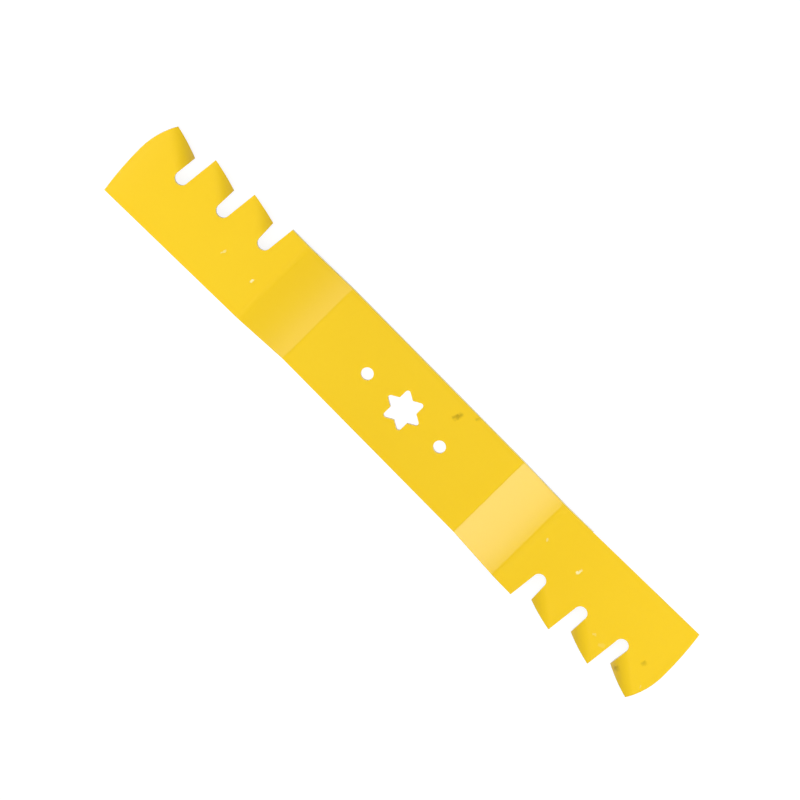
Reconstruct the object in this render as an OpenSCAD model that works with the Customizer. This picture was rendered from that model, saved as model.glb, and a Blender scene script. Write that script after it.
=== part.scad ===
// Rotary mulching mower blade, one piece of steel plate cut and bent. Millimetres.
// X runs along the blade, Z points out of the ground-facing side, and the origin is
// the middle of the star hole on the face that seats against the spindle.

/* [Plate] */
// diameter of the circle the tips sweep
blade_length = 470.4; // [440:0.2:500]
// width of the middle section
blade_width = 63.5; // [58:0.1:70]
// plate thickness
thickness = 5; // [4:0.1:5]
// how far the leading edge stands out at the tip, beyond half the width
tip_flare = 4; // [2:0.1:5]

/* [Bends] */
// distance from the spindle axis to each inner bend
bend_x = 77.3; // [72:0.1:82]
// slope of the ramps
ramp_angle = 17.3; // [12:0.1:20]
// height of the tip sections above the middle section
tip_offset = 12; // [10:0.1:14]
// inside radius of the inner bends, on the ground side
inner_bend_r = 4; // [2:0.5:10]
// inside radius of the outer bends, on the deck side
outer_bend_r = 12; // [6:0.5:20]

/* [Teeth] */
// distance from the spindle axis to the first notch
notch_x = 137.1; // [133:0.1:139]
// distance from one notch to the next
notch_pitch = 33; // [31:0.1:34]
// width of a notch at its round end
notch_width = 9.2; // [6:0.1:10]
// distance of the first notch's round end from the blade's middle line
notch_end_y = 8.8; // [7:0.1:14]
// how much nearer the middle line each further notch ends
notch_end_step = 4.15; // [3:0.05:4.5]
// largest angle to which the teeth are curled towards the deck
tooth_angle = 62; // [46:1:66]
// angle between the line a tooth curls about and the blade's length
tooth_skew = 38; // [28:0.5:38]
// inside radius of the curl
tooth_bend_r = 10; // [6:0.5:14]

/* [Cutting edge] */
// length of each ground edge
bevel_length = 96; // [60:1:110]
// angle of the bevel to the face of the plate
bevel_angle = 28; // [22:1:40]
// thickness left at the edge
edge_land = 0.8; // [0.4:0.1:1.5]

/* [Mounting holes] */
// across opposite points of the star hole
star_points_d = 26.1; // [24:0.1:28]
// across opposite hollows of the star hole
star_hollows_d = 17.1; // [16:0.1:18]
// diameter of the two round holes
hole_d = 8.3; // [6:0.1:10]
// distance between the two round holes
hole_pitch = 65.2; // [60:0.1:72]

/* [Hidden] */
$fn = 96;
paint_yellow = [0.93, 0.63, 0.04];
tip_r = blade_length / 2;
half_w = blade_width / 2;
tip_top = tip_offset + thickness;
notch_r = notch_width / 2;
// the swept circle holds up to the middle line, and a smaller arc draws in the corner behind it
corner_r = 52.2;
// where the flare of the edges begins and where the shoulder before the first notch stands
flare_x = bend_x + 50;
shoulder_out = 0.5;
// room for the cutters around the blade, in plan and in height
reach = 46;
floor_z = -20;
ceiling_z = 40;
// arcs of the bent profiles are drawn in steps of this many degrees
arc_step = 3;
// how far each tooth's zone reaches into its notch
zone_in = 1.5;
// distance from a notch's round end to the start of the curl, along the notch's outer wall
curl_start = 2.5;
// change of x per millimetre of depth along the notch walls: hub side, then outer side by notch
hub_lean = 0.105;
outer_lean = [0.05, -0.02, -0.1];
// the teeth's free edges in plan: distance behind the middle line at the hub side and the far
// side of the first tooth, and how much nearer the line each further tooth ends
free_hub_y = 25.7;
free_hub_step = 3;
free_far_y = 30.9;
free_far_step = 2.15;
// inset of the far corners: from the next notch's round end, and from the swept circle
far_inset = 1.9;
tip_inset = 7;

ramp_mid_r1 = inner_bend_r + thickness / 2;
ramp_mid_r2 = outer_bend_r + thickness / 2;
ramp_start = bend_x - ramp_mid_r1 * tan(ramp_angle / 2);
ramp_straight =
    (tip_offset - (ramp_mid_r1 + ramp_mid_r2) * (1 - cos(ramp_angle))) / sin(ramp_angle);
ramp_end = ramp_start + (ramp_mid_r1 + ramp_mid_r2) * sin(ramp_angle)
    + ramp_straight * cos(ramp_angle);
curl_r = tooth_bend_r + thickness;
far_x = tip_r + 12;

function notch_cx(k) = notch_x + k * notch_pitch;
function notch_top(k) = notch_end_y - k * notch_end_step;
function notch_wall(k) = notch_cx(k) + notch_r;
function hub_corner(k) = [notch_wall(k), free_hub_y - k * free_hub_step];
function far_corner(k) = [
    k < 2 ? notch_cx(k + 1) - notch_r - far_inset : tip_r - tip_inset,
    free_far_y - k * free_far_step];

// points of an arc about [cx, cz] from angle a0 to a1, ends included
function arc(cx, cz, r, a0, a1) =
    let (n = ceil(abs(a1 - a0) / arc_step))
    [for (i = [0:n]) let (a = a0 + (a1 - a0) * i / n) [cx + r * cos(a), cz + r * sin(a)]];

// upper and lower lines of one arm seen from the side, from the hub to the tip plate
function upper_line() = concat(
    arc(ramp_start, thickness + inner_bend_r, inner_bend_r, -90, -90 + ramp_angle),
    arc(ramp_end, tip_offset - outer_bend_r, outer_bend_r + thickness, 90 + ramp_angle, 90));
function lower_line() = concat(
    arc(ramp_start, thickness + inner_bend_r, inner_bend_r + thickness, -90, -90 + ramp_angle),
    arc(ramp_end, tip_offset - outer_bend_r, outer_bend_r, 90 + ramp_angle, 90));

function backwards(list) = [for (i = [len(list) - 1:-1:0]) list[i]];
function mirrored(list) = [for (p = list) [-p[0], p[1]]];

// the two ends of the blade, half a turn apart
module both_ends() {
    for (turn = [0, 180])
        rotate([0, 0, turn])
            children();
}

// everything below one face of the bent strip, reaching past the blade on all sides
module below_strip(line, past) {
    end_x = far_x + past;
    end_z = line[len(line) - 1][1];
    half = concat(line, [[end_x, end_z], [end_x, floor_z - past]]);
    rotate([90, 0, 0])
        linear_extrude(height = 2 * (reach + past), center = true)
            polygon(concat(backwards(mirrored(half)), half));
}

// frame of one tooth: its x along the curl, its -y towards the free edge
module tooth_frame(k) {
    translate([notch_wall(k), -notch_top(k) - curl_start, 0])
        rotate([0, 0, -tooth_skew])
            children();
}

// strip of plan that one tooth is cut from, between the notches beside it
module tooth_zone(k) {
    x0 = notch_wall(k) - zone_in;
    x1 = k < 2 ? notch_cx(k + 1) : far_x + reach;
    y0 = -notch_top(k) - curl_start;
    y1 = -1.2 * reach;
    lean = 0.15 * (y0 - y1);
    translate([0, 0, floor_z - reach])
        linear_extrude(height = ceiling_z - floor_z + 2 * reach)
            polygon([
                [x0, reach],
                [x0, y0],
                [x0 - lean, y1],
                [x1, y1],
                [x1, reach]]);
}

// space above and behind a tooth's outer face, or with the inside radius, its inner face:
// the curl begins at the plate's own face, and its end runs on below the floor
module beyond_curl(k, r) {
    flap = (ceiling_z - floor_z) / sin(tooth_angle);
    bend = arc(0, tip_top - curl_r, r, 90, 90 + tooth_angle);
    first = bend[0] - bend[1];
    start = bend[0] + first * (reach / first[0]);
    end = bend[len(bend) - 1] - flap * [cos(tooth_angle), sin(tooth_angle)];
    intersection() {
        tooth_zone(k);
        tooth_frame(k)
            rotate([90, 0, 90])
                linear_extrude(height = 3 * reach, center = true)
                    polygon(concat(
                        [start],
                        [for (i = [1:len(bend) - 1]) bend[i]],
                        [end, [-2 * reach, end[1]], [-2 * reach, ceiling_z], [reach, ceiling_z]]));
    }
}

// a tooth's outer face at some distance past the start of its curl: how far it has dropped,
// and how steep it is there
curl_end = curl_r * sin(tooth_angle);
function drop(run) =
    run < 0 ? 0
    : run < curl_end ? curl_r - sqrt(curl_r ^ 2 - run ^ 2)
    : curl_r * (1 - cos(tooth_angle)) + (run - curl_end) * tan(tooth_angle);
function slope(run) =
    run < 0 ? 0
    : run < curl_end ? asin(run / curl_r)
    : tooth_angle;

// a free corner given in plan: its distance along the curl and past it, and its point in space
function corner_along(k, p) =
    (p[0] - notch_wall(k)) * cos(tooth_skew) + (p[1] - notch_top(k) - curl_start) * sin(tooth_skew);
function corner_run(k, p) =
    (p[1] - notch_top(k) - curl_start) * cos(tooth_skew) - (p[0] - notch_wall(k)) * sin(tooth_skew);
function corner_point(k, p) =
    let (run = corner_run(k, p))
    [corner_along(k, p), -run, tip_top - drop(run)];

// cutter for a tooth's free edge: from corner to corner, square to the tooth's face half way
module free_edge(k) {
    a = corner_point(k, hub_corner(k));
    b = corner_point(k, far_corner(k));
    lean = (slope(-a[1]) + slope(-b[1])) / 2;
    edge = (b - a) / norm(b - a);
    inward = cross([0, -sin(lean), cos(lean)], edge);
    side = inward / norm(inward);
    top = cross(edge, side);
    intersection() {
        tooth_zone(k);
        tooth_frame(k)
            multmatrix([
                [edge[0], side[0], top[0], a[0]],
                [edge[1], side[1], top[1], a[1]],
                [edge[2], side[2], top[2], a[2]],
                [0, 0, 0, 1]])
                translate([-2 * reach, -3 * reach, -1.5 * reach])
                    cube([5 * reach, 3 * reach, 3 * reach]);
    }
}

// plan of one notch: round end, and walls that lean a little towards the hub
module notch(k) {
    cx = notch_cx(k);
    cy = -notch_top(k) - notch_r;
    inset = notch_r - 0.04;
    depth = reach + cy;
    translate([cx, cy])
        circle(r = notch_r);
    polygon([
        [cx - inset, cy],
        [cx + inset, cy],
        [cx + inset + depth * outer_lean[k], cy - depth],
        [cx - inset - depth * hub_lean, cy - depth]]);
}

// what is cut off beyond one end of the blade, in plan
module end_trim() {
    difference() {
        translate([tip_r - 60, 0])
            square([90, reach]);
        circle(r = tip_r);
    }
    difference() {
        translate([tip_r - 45, -reach])
            square([75, reach]);
        translate([tip_r - corner_r, 0])
            circle(r = corner_r);
    }
}

// one point of the star hole with its rounded end, then the hollow after it
function star_point(turn) =
    let (hollow = star_hollows_d / 2,
         tip_round = hollow * sqrt(3) - star_points_d / 2,
         cx = star_points_d / 2 - tip_round)
    concat(
        [for (a = [-60:15:60]) turned([cx + tip_round * cos(a), tip_round * sin(a)], turn)],
        [turned([hollow * cos(30), hollow * sin(30)], turn)]);
function turned(p, a) = [p[0] * cos(a) - p[1] * sin(a), p[0] * sin(a) + p[1] * cos(a)];

// six-pointed hole for the spindle's star
module star_hole() {
    polygon([for (turn = [0:60:300]) each star_point(turn)]);
}

// edges of one arm in plan: leading edge first, then the shoulder behind the ramp
module arm_plan() {
    polygon([
        [0, -half_w],
        [0, half_w],
        [bend_x, half_w],
        [flare_x, half_w + tip_flare * 0.26],
        [far_x, half_w + tip_flare],
        [far_x, -reach],
        [notch_x, -reach],
        [notch_x, -half_w - shoulder_out],
        [flare_x, -half_w - shoulder_out],
        [bend_x, -half_w]]);
}

// the whole blade in plan, with its notches and holes
module blade_plan() {
    difference() {
        union() {
            both_ends()
                arm_plan();
        }
        both_ends()
            end_trim();
        both_ends()
            for (k = [0:2])
                notch(k);
        star_hole();
        for (side = [-1, 1])
            translate([side * hole_pitch / 2, 0])
                circle(d = hole_d);
    }
}

// grinder's cut along one leading edge, on the deck side
module edge_grind() {
    flare = atan2(tip_flare * 0.74, far_x - flare_x);
    run = (thickness - edge_land) / tan(bevel_angle);
    below = 1.5;
    beyond = 6;
    translate([flare_x, half_w + tip_flare * 0.26, tip_offset])
        rotate([0, 0, flare])
            translate([tip_r - flare_x - bevel_length, 0, 0])
                rotate([90, 0, 90])
                    linear_extrude(height = bevel_length + 30)
                        polygon([
                            [-run - below / tan(bevel_angle), -below],
                            [beyond, -below],
                            [beyond, (run + beyond) * tan(bevel_angle)]]);
}

// the steel between the upper and lower faces, bent strip and curled teeth in one
module bent_plate() {
    difference() {
        below_strip(upper_line(), 0);
        both_ends()
            for (k = [0:2]) {
                beyond_curl(k, curl_r);
                free_edge(k);
            }
        difference() {
            below_strip(lower_line(), 1);
            both_ends()
                for (k = [0:2])
                    beyond_curl(k, tooth_bend_r);
        }
    }
}

// the finished blade
module blade() {
    color(paint_yellow)
        difference() {
            intersection() {
                bent_plate();
                translate([0, 0, floor_z - 1])
                    linear_extrude(height = ceiling_z - floor_z)
                        blade_plan();
            }
            both_ends()
                edge_grind();
        }
}

blade();
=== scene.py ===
"""Looks of the rotary mower blade: yellow gloss paint, soft studio light, the photo's camera.

The CAD node keeps its shape. Modifiers shade its bends smoothly, and one procedural material
paints it and softens its cut edges. Lengths are in metres, in the frame of the CAD model, except
the heights of faces and the marks on the paint, which are in millimetres.
"""
import bpy
import math
from mathutils import Matrix, Vector


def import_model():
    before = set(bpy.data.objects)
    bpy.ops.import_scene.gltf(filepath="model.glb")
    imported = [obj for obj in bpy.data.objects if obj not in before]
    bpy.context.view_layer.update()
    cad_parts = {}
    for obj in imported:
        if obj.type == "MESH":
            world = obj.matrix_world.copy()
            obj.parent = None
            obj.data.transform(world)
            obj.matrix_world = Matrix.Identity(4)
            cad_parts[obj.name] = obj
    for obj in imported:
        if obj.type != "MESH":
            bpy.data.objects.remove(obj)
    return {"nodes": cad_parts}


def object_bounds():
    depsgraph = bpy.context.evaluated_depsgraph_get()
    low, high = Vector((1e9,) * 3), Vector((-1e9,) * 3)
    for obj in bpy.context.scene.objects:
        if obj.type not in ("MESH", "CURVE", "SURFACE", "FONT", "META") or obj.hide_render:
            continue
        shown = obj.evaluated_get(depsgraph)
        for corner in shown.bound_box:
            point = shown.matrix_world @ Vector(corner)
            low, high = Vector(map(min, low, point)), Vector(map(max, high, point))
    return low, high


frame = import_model()
cad_low, cad_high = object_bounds()
blade = frame["nodes"]["blade"]

MM = 0.001

# heights in millimetres of the faces that the photo shows
HUB_FACE = 5
TIP_FACE = cad_high.z / MM

# camera: the photo's size and scale, and where the middle of the star hole lies on it
IMAGE_PX = 800
PX_PER_MM = 1.577
HUB_PX = (403.3, 410.4)
HUB_POINT = Vector((0, 0, HUB_FACE * MM))
BLADE_ANGLE = math.radians(45.36)
TOWARDS_CAMERA = Vector((-0.01, 0.13, 1)).normalized()
CAMERA_DISTANCE = 6.0
SENSOR = 36.0
CLIP_END = 100

# strip lamps that the ramps mirror, each with its near edge's X and its radiance
STRIP_HEIGHT = 0.6
STRIP_Y = -0.1
STRIP_SIZE = (0.14, 0.24)
STRIPS = {"strip_left": (-0.268, 3.9), "strip_right": (0.317, 1.8)}

# soft lamps: one above, and one past each tip, a half turn apart
TOP_PLACE = (0, 0, 1.6)
TOP_SIZE = (1.0, 1.0)
TOP_RADIANCE = 3.9
PAST_TIP_PLACE = Vector((0.5, 0.35, 0.42))
PAST_TIP_AIM = Vector((0.35, -0.1, 0))
PAST_TIP_SIZE = (0.6, 0.6)
PAST_TIP_SPREAD = math.radians(90)
PAST_LEFT_RADIANCE = 0.79
PAST_RIGHT_RADIANCE = 0.81
HALF_TURN = Matrix.Rotation(math.pi, 3, "Z")

# world: light all round, light of the walls at the horizon, and the sine of the angle at which
# the walls end
WHITE = (1, 1, 1, 1)
WORLD_LIGHT = 0.18
WALL_LIGHT = 0.4
WALL_TOP = 0.6

# floor: its colour in the light, the colour that the camera sees, and what it gives off for the
# camera and, as a share, for the paint's gloss
FLOOR_RADIUS = 6
FLOOR_SIDES = 96
FLOOR_GAP = 0.1 * MM
FLOOR_GREY = (0.35, 0.35, 0.35, 1)
FLOOR_SEEN_GREY = (0.22, 0.22, 0.22, 1)
FLOOR_LIFT = (0.88, 0.88, 0.88, 1)
FLOOR_GLOSS_SHARE = 0.75

# cut edges and bends
EDGE_ROUND = 0.45 * MM
EDGE_SAMPLES = 6
EDGE_ANGLE = math.radians(24)
WELD_GAP = 0.002 * MM
FLAT_ANGLE = math.radians(0.3)

# paint
YELLOW = (0.93, 0.622, 0.016, 1)
YELLOW_DEEP = (0.90, 0.582, 0.012, 1)
PALE_SPECK_COLOUR = (0.98, 0.90, 0.52, 1)
SMUDGE_AND_SHADE_DARK = (0.42, 0.25, 0.003, 1)
PAINT_ROUGHNESS = 0.1
PAINT_IOR = 1.5
PEEL_SIZE = 2.2 * MM
PEEL_HEIGHT = 0.004 * MM
PEEL_DETAIL = 2
TONE_SIZE = 90 * MM
TONE_DETAIL = 2

# marks on the paint: place, half length and half width in millimetres, turn in degrees from +X,
# kind, which is a colour and how soft the edge is, and strength; two lie lower, on a tooth
# pale specks, lighter than the paint around them
PALE_SPECK = (PALE_SPECK_COLOUR, 0.5)
# dark smudges of dirt; the one on a tooth's hub-side corner is also painted shade
SMUDGE_AND_SHADE = (SMUDGE_AND_SHADE_DARK, 1.0)
MARKS = (
    ((-151.3, -9.0, TIP_FACE), 2.6, 0.8, 92, PALE_SPECK, 0.45),
    ((151.0, 8.9, TIP_FACE), 2.8, 1.0, 81, PALE_SPECK, 0.8),
    ((-125.8, -8.9, TIP_FACE), 2.3, 1.1, 76, PALE_SPECK, 0.8),
    ((122.5, 8.9, TIP_FACE), 1.6, 1.1, 130, PALE_SPECK, 0.45),
    ((186.0, -12.2, TIP_FACE), 1.8, 0.7, 2, PALE_SPECK, 0.22),
    ((193.8, -14.0, TIP_FACE), 2.8, 1.7, 30, PALE_SPECK, 0.1),
    ((229.9, -14.6, TIP_FACE - 2), 1.3, 1.0, 120, PALE_SPECK, 0.4),
    ((26.9, 22.0, HUB_FACE), 5.6, 2.5, 67, SMUDGE_AND_SHADE, 0.75),
    ((37.3, 30.0, HUB_FACE), 2.6, 2.0, 60, SMUDGE_AND_SHADE, 0.45),
    ((220.7, -2.4, TIP_FACE), 3.2, 2.2, 45, SMUDGE_AND_SHADE, 0.5),
    # dirt and painted shade: dark spot on a tooth's hub-side corner, where its curl is in shade
    ((211.2, -17.4, TIP_FACE - 4), 4.0, 3.0, 20, SMUDGE_AND_SHADE, 0.6),
)
MARK_DEPTH = 4
RAGGED_SIZE = 2.0 * MM
RAGGED_DETAIL = 1
RAGGED_SHIFT = 1.1 * MM


def camera():
    """Long lens along the photo's line of sight, turned so that the blade runs down to the right."""
    back = TOWARDS_CAMERA
    along = (Vector((1, 0, 0)) - back * back.x).normalized()
    across = back.cross(along)
    right = math.cos(BLADE_ANGLE) * along + math.sin(BLADE_ANGLE) * across
    up = -math.sin(BLADE_ANGLE) * along + math.cos(BLADE_ANGLE) * across
    metres_per_px = MM / PX_PER_MM
    shift_x = (IMAGE_PX / 2 - HUB_PX[0]) * metres_per_px
    shift_y = (HUB_PX[1] - IMAGE_PX / 2) * metres_per_px
    data = bpy.data.cameras.new("camera")
    data.sensor_width = SENSOR
    data.lens = SENSOR * CAMERA_DISTANCE / (IMAGE_PX * metres_per_px)
    data.clip_end = CLIP_END
    obj = bpy.data.objects.new("camera", data)
    bpy.context.scene.collection.objects.link(obj)
    place = HUB_POINT + right * shift_x + up * shift_y + back * CAMERA_DISTANCE
    turn = Matrix((right, up, back)).transposed().to_4x4()
    obj.matrix_world = Matrix.Translation(place) @ turn
    bpy.context.scene.camera = obj


def softbox(name, place, aim, size, radiance, spread=math.pi):
    """Rectangular lamp at place, facing aim, unseen by the camera, with a mean radiance and the
    angle over which it spreads."""
    data = bpy.data.lights.new(name, "AREA")
    data.shape = "RECTANGLE"
    data.size, data.size_y = size
    data.spread = spread
    data.energy = radiance * math.pi * size[0] * size[1]
    obj = bpy.data.objects.new(name, data)
    bpy.context.scene.collection.objects.link(obj)
    obj.location = place
    obj.rotation_euler = (Vector(place) - Vector(aim)).to_track_quat("Z", "Y").to_euler()
    obj.visible_camera = False
    return obj


def strip(name, near_x, radiance):
    """Lamp that faces straight down past one ramp, with its near edge at near_x."""
    width = math.copysign(STRIP_SIZE[0], near_x)
    place = Vector((near_x + width / 2, STRIP_Y, STRIP_HEIGHT))
    softbox(name, place, place - Vector((0, 0, STRIP_HEIGHT)), STRIP_SIZE, radiance)


def lights():
    """Two strips that the ramps mirror, the brighter one towards -X, and three soft lamps that
    the paint doesn't mirror, which leave the curl of the teeth in half shade."""
    for name, (near_x, radiance) in STRIPS.items():
        strip(name, near_x, radiance)
    soft = (
        softbox("top", TOP_PLACE, HUB_POINT, TOP_SIZE, TOP_RADIANCE),
        softbox("past_left_tip", HALF_TURN @ PAST_TIP_PLACE, HALF_TURN @ PAST_TIP_AIM,
                PAST_TIP_SIZE, PAST_LEFT_RADIANCE, PAST_TIP_SPREAD),
        softbox("past_right_tip", PAST_TIP_PLACE, PAST_TIP_AIM,
                PAST_TIP_SIZE, PAST_RIGHT_RADIANCE, PAST_TIP_SPREAD))
    for lamp in soft:
        lamp.visible_glossy = False


def backdrop(nodes, strength):
    """White background of a given strength."""
    node = nodes.new("ShaderNodeBackground")
    node.inputs["Color"].default_value = WHITE
    node.inputs["Strength"].default_value = strength
    return node


def world():
    """Dim even light all round, with pale walls where the paint's gloss sees it, and white for
    the camera."""
    studio = bpy.data.worlds.new("studio")
    bpy.context.scene.world = studio
    studio.use_nodes = True
    nodes = studio.node_tree.nodes
    links = studio.node_tree.links
    nodes.clear()
    path = nodes.new("ShaderNodeLightPath")
    direction = nodes.new("ShaderNodeTexCoord")
    height = nodes.new("ShaderNodeSeparateXYZ")
    links.new(direction.outputs["Generated"], height.inputs["Vector"])
    walls = nodes.new("ShaderNodeMapRange")
    walls.inputs["From Max"].default_value = WALL_TOP
    walls.inputs["To Min"].default_value = WALL_LIGHT
    walls.inputs["To Max"].default_value = 0
    links.new(height.outputs["Z"], walls.inputs["Value"])
    light = nodes.new("ShaderNodeMath")
    light.operation = "MULTIPLY_ADD"
    links.new(walls.outputs["Result"], light.inputs[0])
    links.new(path.outputs["Is Glossy Ray"], light.inputs[1])
    light.inputs[2].default_value = WORLD_LIGHT
    dim = backdrop(nodes, WORLD_LIGHT)
    links.new(light.outputs["Value"], dim.inputs["Strength"])
    white = backdrop(nodes, 1)
    mix = nodes.new("ShaderNodeMixShader")
    out = nodes.new("ShaderNodeOutputWorld")
    links.new(path.outputs["Is Camera Ray"], mix.inputs["Fac"])
    links.new(dim.outputs["Background"], mix.inputs[1])
    links.new(white.outputs["Background"], mix.inputs[2])
    links.new(mix.outputs["Shader"], out.inputs["Surface"])


def blend(nodes, links, factor, colour):
    """Mix node that goes from its colour A, which the caller sets, to a colour by a factor."""
    node = nodes.new("ShaderNodeMix")
    node.data_type = "RGBA"
    node.inputs["B"].default_value = colour
    links.new(factor, node.inputs["Factor"])
    return node


def floor():
    """Pale floor a hair below the blade's middle section. Where the camera sees it, it is lifted
    nearly to white and keeps a faint shadow, and the paint's gloss sees a share of that lift."""
    bpy.ops.mesh.primitive_circle_add(
        vertices=FLOOR_SIDES, radius=FLOOR_RADIUS, fill_type="NGON",
        location=(0, 0, cad_low.z - FLOOR_GAP))
    obj = bpy.context.object
    obj.name = "floor"
    mat = bpy.data.materials.new("floor")
    mat.use_nodes = True
    nodes = mat.node_tree.nodes
    links = mat.node_tree.links
    nodes.clear()
    path = nodes.new("ShaderNodeLightPath")
    grey = blend(nodes, links, path.outputs["Is Camera Ray"], FLOOR_SEEN_GREY)
    grey.inputs["A"].default_value = FLOOR_GREY
    matt = nodes.new("ShaderNodeBsdfDiffuse")
    links.new(grey.outputs["Result"], matt.inputs["Color"])
    lift = nodes.new("ShaderNodeEmission")
    seen = nodes.new("ShaderNodeMath")
    seen.operation = "MULTIPLY_ADD"
    links.new(path.outputs["Is Glossy Ray"], seen.inputs[0])
    seen.inputs[1].default_value = FLOOR_GLOSS_SHARE
    links.new(path.outputs["Is Camera Ray"], seen.inputs[2])
    links.new(seen.outputs["Value"], lift.inputs["Strength"])
    lift.inputs["Color"].default_value = FLOOR_LIFT
    both = nodes.new("ShaderNodeAddShader")
    out = nodes.new("ShaderNodeOutputMaterial")
    links.new(matt.outputs["BSDF"], both.inputs[0])
    links.new(lift.outputs["Emission"], both.inputs[1])
    links.new(both.outputs["Shader"], out.inputs["Surface"])
    obj.data.materials.append(mat)


def noise(nodes, links, where, size, detail):
    """Noise texture whose features are about a given size."""
    node = nodes.new("ShaderNodeTexNoise")
    node.inputs["Scale"].default_value = 1 / size
    node.inputs["Detail"].default_value = detail
    links.new(where, node.inputs["Vector"])
    return node


def ragged(nodes, links, where):
    """Coordinates shifted by a fine noise, so that a mark drawn in them has an uneven outline."""
    either_way = noise(nodes, links, where, RAGGED_SIZE, RAGGED_DETAIL)
    either_way.normalize = False
    shift = nodes.new("ShaderNodeVectorMath")
    shift.operation = "MULTIPLY_ADD"
    shift.inputs[1].default_value = (RAGGED_SHIFT, RAGGED_SHIFT, RAGGED_SHIFT)
    links.new(either_way.outputs["Color"], shift.inputs[0])
    links.new(where, shift.inputs[2])
    return shift.outputs["Vector"]


def mark(nodes, links, where, place, length, width, turn, softness, strength):
    """Soft-edged oval on one face of the paint, as a factor from 0 to strength."""
    local = nodes.new("ShaderNodeMapping")
    local.vector_type = "TEXTURE"
    local.inputs["Location"].default_value = Vector(place) * MM
    local.inputs["Rotation"].default_value = (0, 0, math.radians(turn))
    local.inputs["Scale"].default_value = Vector((length, width, MARK_DEPTH)) * MM
    links.new(where, local.inputs["Vector"])
    oval = nodes.new("ShaderNodeTexGradient")
    oval.gradient_type = "SPHERICAL"
    links.new(local.outputs["Vector"], oval.inputs["Vector"])
    soft = nodes.new("ShaderNodeMapRange")
    soft.interpolation_type = "SMOOTHSTEP"
    soft.inputs["From Max"].default_value = softness
    soft.inputs["To Max"].default_value = strength
    links.new(oval.outputs["Fac"], soft.inputs["Value"])
    return soft.outputs["Result"]


def paint():
    """Yellow gloss paint with a slight change of tone, fine orange peel, pale specks, and dark
    smudges of dirt, one of which also paints shade on the corner of a tooth.
    """
    mat = bpy.data.materials.new("paint")
    mat.use_nodes = True
    nodes = mat.node_tree.nodes
    links = mat.node_tree.links
    bsdf = nodes["Principled BSDF"]
    where = nodes.new("ShaderNodeTexCoord").outputs["Object"]

    tone = noise(nodes, links, where, TONE_SIZE, TONE_DETAIL)
    yellow = blend(nodes, links, tone.outputs["Fac"], YELLOW_DEEP)
    yellow.inputs["A"].default_value = YELLOW
    colour = yellow.outputs["Result"]
    uneven = ragged(nodes, links, where)
    for place, length, width, turn, (shade, softness), strength in MARKS:
        spot = mark(nodes, links, uneven, place, length, width, turn, softness, strength)
        over = blend(nodes, links, spot, shade)
        links.new(colour, over.inputs["A"])
        colour = over.outputs["Result"]
    links.new(colour, bsdf.inputs["Base Color"])

    peel = noise(nodes, links, where, PEEL_SIZE, PEEL_DETAIL)
    bump = nodes.new("ShaderNodeBump")
    bump.inputs["Strength"].default_value = 1
    bump.inputs["Distance"].default_value = PEEL_HEIGHT
    links.new(peel.outputs["Fac"], bump.inputs["Height"])
    soft_edge = nodes.new("ShaderNodeBevel")
    soft_edge.samples = EDGE_SAMPLES
    soft_edge.inputs["Radius"].default_value = EDGE_ROUND
    links.new(soft_edge.outputs["Normal"], bump.inputs["Normal"])
    links.new(bump.outputs["Normal"], bsdf.inputs["Normal"])

    bsdf.inputs["Roughness"].default_value = PAINT_ROUGHNESS
    bsdf.inputs["IOR"].default_value = PAINT_IOR
    return mat


def smooth_bends(obj):
    """Joins the tessellated faces and shades the bends smoothly between the cut edges."""
    weld = obj.modifiers.new("join", "WELD")
    weld.merge_threshold = WELD_GAP
    flat = obj.modifiers.new("flat_faces", "DECIMATE")
    flat.decimate_type = "DISSOLVE"
    flat.angle_limit = FLAT_ANGLE
    edge = obj.modifiers.new("cut_edges", "EDGE_SPLIT")
    edge.split_angle = EDGE_ANGLE
    even = obj.modifiers.new("even_shading", "WEIGHTED_NORMAL")
    even.keep_sharp = False


camera()
world()
lights()
floor()
blade.data.materials.clear()
blade.data.materials.append(paint())
smooth_bends(blade)

bpy.context.scene.view_settings.view_transform = "Standard"
